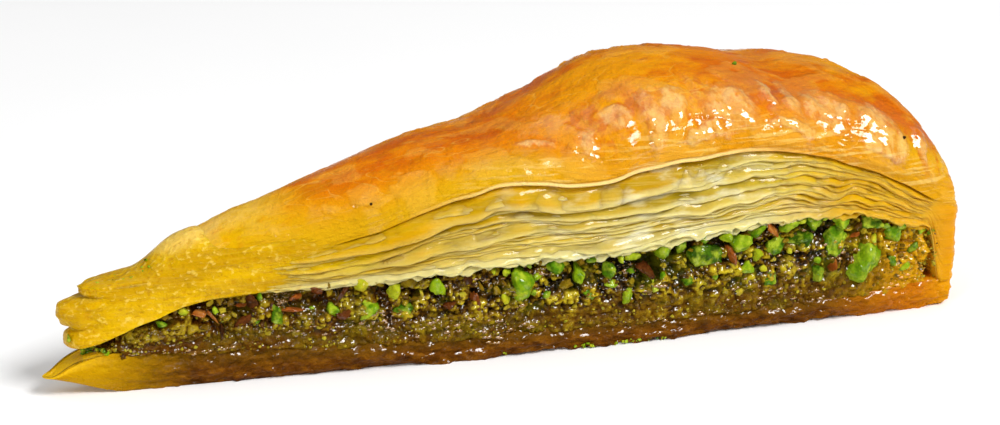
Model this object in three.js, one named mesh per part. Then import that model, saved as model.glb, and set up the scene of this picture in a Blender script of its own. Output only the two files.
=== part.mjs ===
// A long triangular slice of pistachio baklava, as cut from a round tray: a thin soaked
// bottom pastry, a band of chopped pistachio, and a tall puffed stack of thin sheets that
// ends in a domed crust. At the outer edge of the tray the sheets close down over the nuts.
//
// Millimetres, +Z up. +X runs from the tip of the slice to its outer edge, and the two cut
// faces look towards -Y (front) and +Y (back). The origin is the middle of the slice's box
// at the level that it rests on.
import * as THREE from "three";

const { clamp, degToRad, smoothstep } = THREE.MathUtils;

// ---- driving dimensions ----
const LENGTH = 165; // tip of the bottom pastry to the outer edge
const HALF_ANGLE = degToRad(8.6); // half of the slice's angle
const NOSE = 2; // half width that the blunt tip reaches
const NOSE_LENGTH = 3.6; // length over which the tip rounds off
const BELLY = 2.6; // how far the front cut face bows out at mid length
const CORNER = 3.4; // rounding of the two outer corners, seen from above
const RIM_BOW = 2; // how far the outer edge bows out past its corners
const RIM_WALL = 5.4; // thickness of the pastry wall that closes the outer edge
const WALL_STEP = 0.6; // length over which the top pastry's underside drops to that wall
const GAP = 0.3; // clearance between the three layers
const TIP_CURL = 2; // how far the underside of the tip lifts clear
const CURL_END = 24; // distance from the tip where the underside comes to rest
const FOOT_TUCK = 1.4; // how far the foot of the outer edge tucks in
const SETBACK = 0.2; // how far the top pastry's outer edge stands behind the bottom pastry's

// Heights at stations along the slice. Each pair is [share of the length, height].
const BOTTOM_TOP = [[0, 4.6], [0.05, 6.8], [0.12, 6.8], [0.3, 5.4], [0.7, 4.3], [0.88, 4.7], [1, 6.2]];
const NUTS_TOP = [[0.03, 8.2], [0.1, 12], [0.155, 15], [0.26, 16], [0.44, 17.2], [0.6, 17.8],
  [0.68, 18.9], [0.85, 20.4], [0.94, 16.4], [1, 12.8]];
const CRUST_EDGE = [[0, 18.2], [0.1, 18.8], [0.15, 20], [0.28, 23], [0.38, 28], [0.46, 31.4],
  [0.56, 30.8], [0.65, 33.2], [0.75, 33.6], [0.87, 28.2], [1, 18.6]];
const CREST = [[0, 19.2], [0.09, 20.4], [0.125, 23.2], [0.24, 29.4], [0.4, 36], [0.48, 38],
  [0.55, 43.8], [0.61, 46.9], [0.67, 47.2], [0.76, 45], [0.85, 43.4], [0.92, 35.8], [1, 22]];

// The sheets stand out of the tip in three bunches: [share of the way up, distance from the tip].
const BUNCHES = [[0, 6.6], [0.17, 3.2], [0.33, 5.6], [0.5, 2.2], [0.66, 6], [0.84, 5], [1, 9.6]];

// ---- resolution ----
const ALONG = 30; // steps along a cut face
const CROWDING = 1.15; // how much closer together the steps are near the tip
const ROUND = 3; // steps round an outer corner
const RIM = 4; // steps along half of the outer edge
const HALF = ALONG + ROUND + RIM; // steps from the tip to the middle of the outer edge
const NUT_BANDS = 7; // bands of lumps up the filling's sides
const LEDGES = 6; // folds of sheets that stand out of the top pastry's sides
const CRUST_RINGS = 9; // rings from the crust's edge to its crest

// A smooth curve through the stations, with level ends.
function profile(stations) {
  const last = stations.length - 1;
  const slope = (a, b) => (stations[b][1] - stations[a][1]) / (stations[b][0] - stations[a][0]);
  return (share) => {
    let k = 0;
    while (k < last - 1 && share > stations[k + 1][0]) k++;
    const [x0, y0] = stations[k];
    const [x1, y1] = stations[k + 1];
    const span = x1 - x0;
    const t = clamp((share - x0) / span, 0, 1);
    const startSlope = k > 0 ? slope(k - 1, k + 1) : 0;
    const endSlope = k + 1 < last ? slope(k, k + 2) : 0;
    return (2 * t ** 3 - 3 * t ** 2 + 1) * y0 + (t ** 3 - 2 * t ** 2 + t) * span * startSlope +
      (3 * t ** 2 - 2 * t ** 3) * y1 + (t ** 3 - t ** 2) * span * endSlope;
  };
}

// The same, as a height at a distance from the tip.
function heightCurve(stations) {
  const curve = profile(stations);
  return (s) => curve(clamp(s / LENGTH, 0, 1));
}
const bottomTop = heightCurve(BOTTOM_TOP);
const nutsTop = heightCurve(NUTS_TOP);
const crustEdge = heightCurve(CRUST_EDGE);
const crest = heightCurve(CREST);
const tipReach = profile(BUNCHES);

// Uneven but repeatable lumps, from -1 to 1, with features about size long.
function lumps(along, up, size, seed) {
  const a = (2 * Math.PI * along) / size;
  const b = (2 * Math.PI * up) / size;
  return 0.5 * Math.sin(a + 1.7 * seed) * Math.cos(0.8 * b + seed) +
    0.3 * Math.sin(1.9 * a - 1.3 * b + 2.9 * seed) +
    0.2 * Math.cos(3.1 * a + 2.3 * b + 0.7 * seed);
}

// Half of the slice's width at a distance from the tip. side is -1 at the front cut face.
function halfWidth(s, tip, side) {
  const nose = Math.min((s - tip) / NOSE_LENGTH, 1);
  const belly = side < 0 ? BELLY * Math.sin((Math.PI * s) / LENGTH) : 0;
  const wedge = (s - tip * (1 - nose)) * Math.tan(HALF_ANGLE);
  return NOSE * Math.sqrt(1 - (1 - nose) ** 2) + wedge + belly;
}

// Half of the slice's outline seen from above: step 0 is on the axis at the tip, and step
// HALF is on the axis at the outer edge. Returns [distance from the tip, half width].
function outline(step, tip, end, side) {
  const cornerStart = end - CORNER;
  if (step === 0) return [tip, 0];
  if (step < ALONG) {
    const straight = cornerStart - WALL_STEP - tip;
    const s = tip + straight * (step / (ALONG - 1)) ** CROWDING;
    return [s, halfWidth(s, tip, side)];
  }
  const full = halfWidth(cornerStart, tip, side);
  const bow = (w) => RIM_BOW * (w / full) ** 2;
  if (step <= ALONG + ROUND) {
    const angle = ((step - ALONG) / ROUND) * (Math.PI / 2);
    const w = full - CORNER * (1 - Math.cos(angle));
    return [cornerStart + (CORNER - bow(w)) * Math.sin(angle), w];
  }
  const w = (full - CORNER) * (1 - (step - ALONG - ROUND) / RIM);
  return [end - bow(w), w];
}

// Stitches rings of points into one closed solid. A ring is a function that gives the point
// for a step from the tip and a side, -1 or 1. The first and the last ring lie on the axis.
function ringSolid(rings) {
  const positions = [];
  const index = [];
  const known = new Map();
  const vertex = (place) => {
    const key = place.map((v) => v.toFixed(3)).join();
    if (!known.has(key)) {
      known.set(key, positions.length / 3);
      positions.push(...place);
    }
    return known.get(key);
  };
  const triangle = (a, b, c) => {
    if (a !== b && b !== c && c !== a) index.push(a, b, c);
  };
  const around = 2 * HALF;
  const point = (ring, j) => vertex(ring(Math.min(j, around - j), j < HALF ? -1 : 1));
  for (let k = 0; k + 1 < rings.length; k++) {
    for (let j = 0; j < around; j++) {
      const next = (j + 1) % around;
      const low = [point(rings[k], j), point(rings[k], next)];
      const high = [point(rings[k + 1], j), point(rings[k + 1], next)];
      triangle(low[0], low[1], high[1]);
      triangle(low[0], high[1], high[0]);
    }
  }
  const geometry = new THREE.BufferGeometry();
  geometry.setAttribute("position", new THREE.Float32BufferAttribute(positions, 3));
  geometry.setIndex(index);
  geometry.computeVertexNormals();
  return geometry;
}

// Where a point of the outline shrinks to on the axis: level with it along the cut faces,
// and drawn together before both ends.
function axisPoint(s, tip, axisEnd) {
  const soft = LENGTH - axisEnd;
  const over = clamp((s - axisEnd + soft) / (2 * soft), 0, 1);
  const drawnIn = s < axisEnd + soft ? s - soft * over * over : axisEnd;
  return Math.max(drawnIn, tip + NOSE_LENGTH);
}

// A ring at a share of the way in from the outline to the axis. span is the outline's tip,
// its end and the end of the axis line that the ring shrinks to. height and out are functions
// of the distance from the tip and the side, and out moves the ring outwards.
function ring({ tip, end, axisEnd }, inward, height, out = () => 0) {
  const shareOut = 1 - inward;
  return (step, side) => {
    const [s, w] = outline(step, tip, end, side);
    const axis = axisPoint(outline(step, tip, end, 1)[0], tip, axisEnd);
    const push = inward === 1 ? 0 : out(s, side);
    const sideways = step === 0 || step > ALONG + ROUND ? 0 : push;
    const lengthways = step === 0 ? -push : step > ALONG ? push : 0;
    return [
      axis + (s - axis) * shareOut + lengthways,
      side * (w * shareOut + sideways),
      height(inward === 1 ? axis : s, side, axis),
    ];
  };
}

// ---- bottom pastry: a soaked slab with a pointed tip and a flat underside ----
function bottomPastry() {
  const span = { tip: 0, end: LENGTH, axisEnd: LENGTH - RIM_BOW };
  const underside = (s) => TIP_CURL * (1 - smoothstep(s, 0, CURL_END));
  const foot = (s) => underside(s) + 0.7 + 0.5 * lumps(s, 0, 23, 3);
  const uneven = (size, up, seed) => (s, side) => size * lumps(s, up, 17, seed + side);
  const tuck = (s) => FOOT_TUCK * smoothstep(s, LENGTH - 3 * CORNER, LENGTH);
  return ringSolid([
    ring(span, 1, underside),
    ring(span, 0.5, underside),
    ring(span, 0.06, underside),
    ring(span, 0, foot, (s, side) => uneven(0.5, 0, 1)(s, side) - tuck(s)),
    ring(span, 0, (s) => 0.55 * foot(s) + 0.45 * bottomTop(s), uneven(0.6, 3, 1)),
    ring(span, 0, (s) => bottomTop(s) - 0.5, uneven(0.5, 6, 2)),
    ring(span, 0.05, bottomTop),
    ring(span, 0.5, bottomTop),
    ring(span, 1, bottomTop),
  ]);
}

// ---- pistachio filling: a lumpy band that stops at the pastry wall of the outer edge ----
function pistachioFilling() {
  const tip = 9;
  const end = LENGTH - RIM_WALL - GAP;
  const span = { tip, end, axisEnd: end - RIM_BOW };
  const floor = (s) => bottomTop(s) + GAP;
  const lump = 0.75; // height of the lumps on the sides
  const sides = [];
  for (let k = 0; k <= NUT_BANDS; k++) {
    const up = k / NUT_BANDS;
    const share = 0.03 + 0.94 * up;
    const recess = 1.1 + 0.5 * Math.abs(2 * up - 1) ** 3;
    sides.push(ring(
      span, 0,
      (s) => floor(s) + (nutsTop(s) - floor(s)) * share,
      (s, side) => lump * lumps(s, 14 * up, 9, 5 + side) - recess,
    ));
  }
  return ringSolid([
    ring(span, 1, floor),
    ring(span, 0.5, floor),
    ring(span, 0.05, floor),
    ...sides,
    ring(span, 0.08, nutsTop),
    ring(span, 0.5, nutsTop),
    ring(span, 1, nutsTop),
  ]);
}

// ---- top pastry: ledges of sheets, a three-bunched tip, and the domed crust ----
function topPastry() {
  const end = LENGTH - SETBACK;
  const wall = end - CORNER - 0.5 * WALL_STEP; // beyond this it reaches down to the bottom layer
  const under = (s) => (s > wall ? bottomTop(s) : nutsTop(s)) + GAP;
  const edge = (s, side) => crustEdge(s) + 0.6 * lumps(s, 0, 31, 2 + side);
  const spanAt = (tip, axisEnd = LENGTH - RIM_BOW) => ({ tip, end, axisEnd });
  const lowest = spanAt(tipReach(0));

  const ledge = 0.9; // how far the sheets between two ledges stand back
  const batter = 0.8; // how far the stack leans in towards its top
  const steps = 2 * LEDGES;
  const sides = [];
  for (let k = 0; k <= steps; k++) {
    const up = k / steps;
    const fade = (s) => smoothstep(s, 15, 45) * (1 - smoothstep(s, LENGTH - 20, LENGTH - 8));
    const stepBack = (s) => (k % 2 === 1 ? ledge * fade(s) : 0);
    const wave = (s, side) => 2.4 * up * (1 - up) * lumps(s, 30 * up, 22, 4 + side);
    sides.push(ring(
      spanAt(tipReach(up)), 0,
      (s, side) => under(s) + (edge(s, side) - under(s)) * up + wave(s, side),
      (s, side) => 0.5 * lumps(s, 10 * up, 14, side) - stepBack(s) - batter * up,
    ));
  }

  const crestEnd = LENGTH - 17; // where the crest line starts to round down to the outer edge
  const crust = spanAt(tipReach(1) - 1.5, crestEnd);
  const dome = [];
  for (let k = 1; k <= CRUST_RINGS; k++) {
    const angle = (k / CRUST_RINGS) * (Math.PI / 2);
    const inward = k === CRUST_RINGS ? 1 : 1 - Math.cos(angle) ** 1.1;
    const rise = Math.sin(angle) ** 0.85;
    dome.push(ring(
      crust, inward,
      (s, side, axis) => edge(s, side) * (1 - rise) + crest(axis) * rise,
      (s, side) => (1 - inward) * (0.9 * lumps(s, 12 * rise, 26, 7 + side) - 0.4),
    ));
  }
  return ringSolid([
    ring(lowest, 1, under),
    ring(lowest, 0.5, under),
    ring(lowest, 0.04, under),
    ...sides,
    ...dome,
  ]);
}

// ---- colours ----
function food(color, roughness) {
  return new THREE.MeshStandardMaterial({ color, roughness, metalness: 0 });
}

function piece(name, geometry, material) {
  const mesh = new THREE.Mesh(geometry, material);
  mesh.name = name;
  return mesh;
}

const baklava = new THREE.Group();
baklava.add(
  piece("bottom_pastry", bottomPastry(), food(0xb06a10, 0.35)),
  piece("pistachio_filling", pistachioFilling(), food(0x7d8a24, 0.5)),
  piece("top_pastry", topPastry(), food(0xd98c1c, 0.3)),
);

// The layers are made with x as the distance from the tip, so the whole moves to its origin.
const box = new THREE.Box3().setFromObject(baklava);
const middle = box.getCenter(new THREE.Vector3());
baklava.position.set(-middle.x, -middle.y, -box.min.z);

export default baklava;
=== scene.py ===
# %% [markdown]
# # A slice of pistachio baklava
#
# The slice is a long triangle cut from a round tray. From the plate up it has a thin base
# soaked in syrup, a band of chopped pistachio, about two dozen paper-thin sheets of pastry,
# and a puffed crust brushed with butter and syrup. The packed model gives the place and the
# size of each layer, and this lesson makes each layer look like food.
#
# The frame comes first. It is loaded, never changed, and every size below is worked out
# from it.

# %% Load the frame
import itertools
import math

import bmesh
import bpy
import numpy as np
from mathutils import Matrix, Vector


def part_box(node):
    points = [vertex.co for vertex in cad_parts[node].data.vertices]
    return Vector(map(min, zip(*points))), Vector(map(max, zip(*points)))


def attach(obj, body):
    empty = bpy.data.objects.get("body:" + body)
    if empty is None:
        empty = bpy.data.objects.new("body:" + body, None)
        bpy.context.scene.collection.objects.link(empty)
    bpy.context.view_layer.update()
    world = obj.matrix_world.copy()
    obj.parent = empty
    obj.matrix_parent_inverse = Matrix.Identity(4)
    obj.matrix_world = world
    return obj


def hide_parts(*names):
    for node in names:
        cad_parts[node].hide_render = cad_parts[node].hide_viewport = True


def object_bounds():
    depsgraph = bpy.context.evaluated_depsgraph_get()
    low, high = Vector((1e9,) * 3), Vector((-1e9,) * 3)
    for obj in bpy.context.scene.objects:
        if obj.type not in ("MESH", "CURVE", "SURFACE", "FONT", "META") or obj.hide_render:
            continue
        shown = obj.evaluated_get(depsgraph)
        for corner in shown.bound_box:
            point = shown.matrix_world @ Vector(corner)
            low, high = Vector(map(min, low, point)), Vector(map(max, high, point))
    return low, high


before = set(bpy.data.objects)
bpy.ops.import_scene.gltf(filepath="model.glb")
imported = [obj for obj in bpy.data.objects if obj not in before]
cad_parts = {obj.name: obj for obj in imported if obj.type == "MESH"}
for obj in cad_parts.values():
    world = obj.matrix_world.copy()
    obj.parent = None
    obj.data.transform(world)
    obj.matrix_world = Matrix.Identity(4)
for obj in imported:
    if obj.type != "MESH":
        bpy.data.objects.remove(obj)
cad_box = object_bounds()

MM = 0.001  # the lesson thinks in millimetres, and Blender in metres
base_low, base_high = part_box("bottom_pastry")
nuts_low, nuts_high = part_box("pistachio_filling")
top_low, top_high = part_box("top_pastry")

TIP_X = base_low.x / MM
LENGTH = (base_high.x - base_low.x) / MM
HEIGHT = cad_box[1].z / MM
END_HALF = (top_high.y - top_low.y) / MM / 2
NUTS_TIP = (nuts_low.x - base_low.x) / MM
NUTS_END = (nuts_high.x - base_low.x) / MM
print(f"slice {LENGTH:.1f} long, {2 * END_HALF:.1f} wide, {HEIGHT:.1f} high, in millimetres")

# %% [markdown]
# ## Shape of the slice
#
# Every layer is wrapped round the same long triangle, so its outline is worked out once.
# Heights run along the slice as smooth curves through a few stations, each a share of the
# length and a share of the height. They could be drawn as Bezier curves by hand, but plain
# stations keep each layer exactly on top of the one below it.

# %% Curves along the slice
def smooth(x, low, high):
    """0 below low, 1 above high, and an S curve between."""
    t = np.clip((x - low) / (high - low), 0, 1)
    return t * t * (3 - 2 * t)


def between(x, low, high, fall, end):
    """0, then 1 from high to fall, then 0 again from end on, with S curves between."""
    return smooth(x, low, high) * (1 - smooth(x, fall, end))


def curve(stations):
    """A smooth curve through [share, value] stations, level at both ends."""
    xs, ys = np.array(stations, float).T
    slopes = np.zeros(len(xs))
    slopes[1:-1] = (ys[2:] - ys[:-2]) / (xs[2:] - xs[:-2])

    def at(x):
        x = np.clip(x, xs[0], xs[-1])
        k = np.clip(np.searchsorted(xs, x, side="right") - 1, 0, len(xs) - 2)
        gap = xs[k + 1] - xs[k]
        t = (x - xs[k]) / gap
        low = (2 * t**3 - 3 * t**2 + 1) * ys[k] + (t**3 - 2 * t**2 + t) * gap * slopes[k]
        return low + (3 * t**2 - 2 * t**3) * ys[k + 1] + (t**3 - t**2) * gap * slopes[k + 1]

    return at


def height_curve(stations):
    """The same as a height in millimetres at a distance from the tip in millimetres."""
    share = curve(stations)
    return lambda s: share(s / LENGTH) * HEIGHT


base_top = height_curve([(0, 0.092), (0.05, 0.142), (0.12, 0.143), (0.3, 0.114), (0.7, 0.091),
                         (0.88, 0.099), (1, 0.131)])
nuts_top = height_curve([(0.03, 0.173), (0.1, 0.253), (0.155, 0.317), (0.26, 0.338), (0.44, 0.363),
                         (0.6, 0.376), (0.68, 0.399), (0.85, 0.431), (0.94, 0.346), (1, 0.27)])
crust_edge = height_curve([(0, 0.384), (0.1, 0.397), (0.15, 0.422), (0.28, 0.486), (0.38, 0.591),
                           (0.46, 0.663), (0.56, 0.65), (0.65, 0.701), (0.75, 0.71), (0.87, 0.596),
                           (1, 0.393)])
crest = height_curve([(0, 0.4), (0.05, 0.408), (0.1, 0.428), (0.138, 0.52), (0.187, 0.578), (0.24, 0.623),
                      (0.4, 0.762), (0.48, 0.787), (0.545, 0.872), (0.61, 0.97), (0.66, 0.998),
                      (0.71, 0.985), (0.76, 0.955), (0.81, 0.905), (0.85, 0.9), (0.89, 0.87),
                      (0.93, 0.812), (1, 0.4)])
print("crest is highest at", round(float(np.argmax(crest(np.arange(LENGTH)))), 1), "from the tip")

# %% [markdown]
# From above, the slice is a long triangle with a blunt tip, two rounded outer corners and an
# outer edge that is an arc of the tray. The front cut face bows out a little, as soft food
# does. A traced outline would fit one layer only. This one is a rule for the half width at
# any distance from the tip, so layers that start and end in different places share it.

# %% Outline from above
SLOPE = math.tan(math.radians(8.6))  # half of the angle that the slice was cut at
NOSE, NOSE_LENGTH = 2.0, 3.6  # the blunt tip: its half width and how long it takes to round off
BELLY = 2.6  # how far the front cut face bows out at mid length
CORNER, CORNER_POINTS = 4.0, 8  # rounding of the two outer corners, and the points on each
FAR_SIDE = 20  # along the outer edge, the front turns into the back over this far to each side
RIM_BOW = 2.0  # the outer edge is an arc of the tray


def half_width(s, tip, side):
    """Half of the width at a distance from the tip; side is -1 in front and 1 behind."""
    nose = np.clip((s - tip) / NOSE_LENGTH, 0, 1)
    belly = np.where(side < 0, BELLY * np.sin(np.pi * np.clip(s / LENGTH, 0, 1)), 0)
    return NOSE * np.sqrt(1 - (1 - nose) ** 2) + np.maximum(s - tip * (1 - nose), 0) * SLOPE + belly


def outline(tip, end, along, rim=26):
    """The ring round the slice, from the tip along the front and back again: s, y and side."""
    halves = []
    start = end - CORNER
    for side in (-1, 1):
        s = tip + (start - tip) * np.linspace(0, 1, along) ** 1.1
        w = half_width(s, tip, side)
        w[0] = 0
        full = w[-1]
        turn = np.linspace(0, math.pi / 2, CORNER_POINTS + 1)[1:]
        corner_w = full - CORNER * (1 - np.cos(turn))
        corner_s = start + (CORNER - RIM_BOW * (corner_w / full) ** 2) * np.sin(turn)
        rim_w = (full - CORNER) * (1 - np.arange(1, rim + 1) / rim)
        rim_s = end - RIM_BOW * (rim_w / full) ** 2
        halves.append((np.concatenate([s, corner_s, rim_s]), np.concatenate([w, corner_w, rim_w])))
    (front_s, front_w), (back_s, back_w) = halves
    s = np.concatenate([front_s, back_s[-2:0:-1]])
    y = np.concatenate([-front_w, back_w[-2:0:-1]])
    side = np.concatenate([-np.ones(len(front_s)), np.ones(len(back_s) - 2)])
    side = np.where(s > start, np.clip(y / FAR_SIDE, -1, 1), side)
    return s, y, side


def outward(s, y):
    """Unit vectors that point out of a ring, in the plane of the plate."""
    ds, dy = np.roll(s, -1) - np.roll(s, 1), np.roll(y, -1) - np.roll(y, 1)
    size = np.hypot(ds, dy) + 1e-9
    return dy / size, -ds / size


widths = [round(float(half_width(np.array(s), 0, -1)), 1) for s in (5, 50, 100, 150)]
print("half widths in front, at 5, 50, 100 and 150 from the tip:", widths)

# %% [markdown]
# ## Unevenness
#
# Nothing in a kitchen is regular. Blender's own noise could be sampled point by point, but
# these meshes have hundreds of thousands of points, so a small noise of our own is worked
# out for whole arrays at once. It reads a shuffled table, so it is the same on every run.

# %% A noise for whole arrays
shuffler = np.random.default_rng(11)
SHUFFLE = shuffler.permutation(256)
LEVELS = shuffler.uniform(-1, 1, 256)


def noise(seed, *axes):
    """Smooth unevenness from -1 to 1, with bumps about one unit apart on each axis."""
    axes = np.broadcast_arrays(*[np.asarray(a, float) for a in axes])
    cells = [np.floor(a).astype(int) for a in axes]
    fades = [smooth(a - c, 0, 1) for a, c in zip(axes, cells)]
    total = 0
    for corner in itertools.product((0, 1), repeat=len(axes)):
        key = np.full(axes[0].shape, seed % 256)
        weight = 1
        for cell, fade, k in zip(cells, fades, corner):
            key = SHUFFLE[(key + cell + k) % 256]
            weight = weight * (fade if k else 1 - fade)
        total = total + weight * LEVELS[key]
    return total


def rough(seed, *axes, layers=3):
    """Noise with finer noise on top of it, still about -1 to 1."""
    total = 0
    for k in range(layers):
        total = total + noise(seed + 17 * k, *[np.asarray(a) * 2.1**k for a in axes]) / 1.9**k
    return total / 1.4


def crease(seed, *axes):
    """0 in a network of thin valleys and 1 on the puffed ground between them."""
    return np.clip(np.abs(noise(seed, *axes)) * 3, 0, 1) ** 0.6


sample = noise(3, np.linspace(0, 99, 999))
print(f"the noise spans {sample.min():.2f} to {sample.max():.2f}")

# %% [markdown]
# ## Meshes from rings
#
# A layer is a stack of rings that run round the slice. Joining each ring to the next gives
# clean four-sided faces that follow the cut faces, and a ring that is folded flat on the
# middle line closes the layer at its top or its bottom. Sculpting would give the same
# surface, but not one that fits the frame to a tenth of a millimetre.

# %% From points to a piece
def add_piece(name, points, faces, marks=None, faceted=False):
    """A smooth mesh from points in millimetres, x counted from the tip, with named values."""
    mesh = bpy.data.meshes.new(name)
    place = (np.asarray(points, float) + [TIP_X, 0, 0]) * MM
    mesh.from_pydata(place.tolist(), [], np.asarray(faces).tolist())
    if not faceted:
        mesh.shade_smooth()
    for key, values in (marks or {}).items():
        layer = mesh.attributes.new(key, "FLOAT", "POINT")
        layer.data.foreach_set("value", np.ascontiguousarray(values, np.float32).ravel())
    piece = bpy.data.objects.new(name, mesh)
    bpy.context.scene.collection.objects.link(piece)
    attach(piece, "root")
    print(f"{name}: {len(mesh.loops) - 2 * len(mesh.polygons)} triangles")
    return piece


# %% Rings
ALONG = 300  # points along one cut face


def middle(s, tip, axis_end):
    """Where a point of the outline goes when its ring is folded on the middle line."""
    soft = LENGTH - axis_end
    over = np.clip((s - axis_end + soft) / (2 * soft), 0, 1)
    drawn_in = np.where(s < axis_end + soft, s - soft * over**2, axis_end)
    return drawn_in + NOSE_LENGTH * np.exp(-(s - tip) / NOSE_LENGTH)


def ring(tip, end, inward, out, z, axis_end=None, along=ALONG):
    """One ring: a share of the way in to the middle line, then pushed out.

    out and z are numbers or functions of the distance from the tip, the side and the
    place on the middle line."""
    s, y, side = outline(tip, end, along)
    out_s, out_y = outward(s, y)
    axis = middle(s, tip, end - RIM_BOW if axis_end is None else axis_end)
    out = out(s, side, axis) if callable(out) else out
    z = z(s if inward < 1 else axis, side, axis) if callable(z) else z
    push = out if inward < 1 else 0
    keep = 1 - inward
    x = axis + (s - axis) * keep + push * out_s
    return np.stack([x, y * keep + push * out_y, z + 0 * x], -1)


def loft(rings):
    """The points and faces of a stack of rings that is folded shut at both ends."""
    rings = np.asarray(rings)
    count, columns = rings.shape[:2]
    place = np.arange(count * columns).reshape(count, columns)
    fold = np.minimum(np.arange(columns), columns - np.arange(columns))
    for end in (0, -1):
        place[end] = place[end][fold]
    used, place = np.unique(place, return_inverse=True)
    place = place.reshape(count, columns)
    low, high = place[:-1], place[1:]
    faces = np.stack([low, np.roll(low, -1, 1), np.roll(high, -1, 1), high], -1)
    return rings.reshape(-1, 3)[used], faces.reshape(-1, 4), used


def normals(rings):
    """The direction that each point of a grid of rings faces."""
    along = np.roll(rings, -1, 1) - np.roll(rings, 1, 1)
    normal = np.cross(along, np.gradient(rings, axis=0))
    return normal / (np.linalg.norm(normal, axis=-1, keepdims=True) + 1e-9)


def swell(rings, height):
    """Pushes a grid of rings out along its own surface by a height in millimetres."""
    return rings + normals(rings) * height[..., None]


print("a ring has", len(outline(0, LENGTH, ALONG)[0]), "points")

# %% [markdown]
# ## The stack of sheets, as one body
#
# Behind the sheets that stand out there has to be something for them to grow from. The real
# stack is glued by syrup into one body near the tip, where three soft bunches of sheets stick
# out, and at the outer edge, where the sheets fold down over the nuts. So the body comes out
# to the surface there, and stands back in between to leave room for real sheets.

# %% The pastry stack
BUNCHES = ((0.0, 0.33, 4.0), (0.33, 0.8, 3.3), (0.8, 1.5, 6.4))  # share up from, to, and reach
BUNCH_DEPTH = 1.7  # how far the clefts between the bunches go in
STACK_END = LENGTH - 0.4
STACK_RINGS = 60
STACK_ALONG = 240
WALL = NUTS_END - 1.2  # beyond this the sheets close down over the nuts
SHEETS_START, SHEETS_FULL = 26, 60  # from the tip, where real sheets begin and where they stand out fully


def bunch_tip(up):
    """Distance from the tip of the slice to the sheets, at a share of the way up the stack."""
    for low, high, reach in BUNCHES:
        if up <= high:
            across = (up - low) / (high - low) * 2 - 1
            return reach + BUNCH_DEPTH * (1 - math.sqrt(max(1 - abs(across) ** 4, 0)))
    return BUNCHES[-1][2]


def stack_under(s):
    """Underside of the sheets: on the nuts, then down to the base at the outer wall."""
    drop = smooth(s, WALL - 2.2, WALL + 1.4)
    return nuts_top(s) * (1 - drop) + (base_top(s) - 1.4) * drop


def standing_back(s):
    """How far the body stands back to leave room for sheets."""
    return between(s, SHEETS_START, SHEETS_FULL, LENGTH - 14, LENGTH - 6)


def side_top(s):
    """Height where the side of the stack rounds over."""
    return crust_edge(s) + 0.5 + 2.0 * between(s, 16, 26, 38, 60) - 0.4 * smooth(s, 40, 60)


def stack_body():
    under = lambda s, *_: stack_under(s)
    rings = [ring(bunch_tip(0), STACK_END, inward, -0.6, under, along=STACK_ALONG)
             for inward in (1, 0.6, 0.2)]
    clefts = [low for low, _, _ in BUNCHES[1:]]
    for up in np.linspace(0, 1, STACK_RINGS):
        def z(s, side, axis):
            wave = 2.4 * up * (1 - up) * noise(3, s / 17, 2 * up + 5 * side)
            return stack_under(s) + (side_top(s) - stack_under(s)) * up + wave

        def out(s, side, axis):
            level = z(s, side, axis)
            lines = (0.08 + 0.08 * smooth(s, 20, 60)) * rough(5, s / 26, level / 0.55 + 9 * side, layers=2)
            lines = lines + 0.14 * rough(6, s / 2.2, level / 1.1, side, layers=2)
            lumps = 0.4 * noise(8, s / 11, level / 2.6, side) + 0.22 * noise(9, s / 4, level / 1.4, side)
            cleft = sum(math.exp(-(((up - low) / 0.05) ** 2)) for low in clefts)
            end_lumps = 0.7 * noise(11, s / 3, level / 1.8, side) * (1 - smooth(s, 6, 13))
            lip = smooth(up, 0, 0.06) - 1
            fade = 1 - smooth(s, 5, 13)
            top_edge = (0.2 * up + 0.5 * smooth(up, 0.8, 1)) * (1 - smooth(s, LENGTH - 14, LENGTH - 5))
            lumps = lumps * (1 - 0.6 * smooth(s, LENGTH - 12, LENGTH - 4))
            wall = 0.1 * smooth(s, LENGTH - 12, LENGTH - 6)
            return (lines + lumps - wall + end_lumps - 0.5 * cleft * fade + 0.8 * lip
                    - standing_back(s) - top_edge)

        rings.append(ring(bunch_tip(up), STACK_END, 0, out, z, along=STACK_ALONG))
    for inward in (0.05, 0.12, 0.22, 0.4, 0.65, 1):
        def roof(s, side, axis):
            bare = 1 - smooth(s, SHEETS_START, 35)
            dome = (crest(axis) - side_top(s)) * (1 - (1 - inward) ** 2.6)
            lumps = 0.25 * noise(13, s / 3, inward)
            return side_top(s) + 0.4 + (dome - 0.4 + lumps) * bare - 0.8 * inward * (1 - bare)

        rings.append(ring(bunch_tip(1), STACK_END - 2, inward, -0.9, roof, along=STACK_ALONG))
    return loft(rings)


stack_points, stack_faces, _ = stack_body()
stack = add_piece("pastry_stack", stack_points, stack_faces)

# %% [markdown]
# ## The crust
#
# The crust is the top few sheets, fused by butter and puffed into a dome. Puffs run down to
# its edge with creases between them, single sheets stand off it as blisters, and thin flakes
# end in small steps. All of these are real relief, because a glazed surface mirrors the light
# and a bump can't break up its mirror image. Only the finest wrinkles are left to a bump.

# %% Relief of the crust
FOLD = 113  # a fold runs down the crust at this distance from the tip
# Blisters where single sheets stand off: distance from the tip and from the edge, half sizes.
BLISTERS = ((84, 8, 3.0, 1.6), (93, 8, 1.5, 3.2), (99, 11, 2.4, 3.6), (104.5, 9, 2.0, 5.5),
            (109, 11, 2.0, 4.2), (119, 8, 5.0, 4.8), (127, 11, 1.3, 3.0), (131.5, 11, 1.4, 5.5),
            (137.5, 9.5, 3.8, 5.5), (147.5, 9, 4.2, 5.6), (155, 8.5, 1.3, 4.0),
            (113, 4, 4.0, 1.4), (129, 4.2, 4.5, 1.5), (146, 4, 4.0, 1.4))


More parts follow.
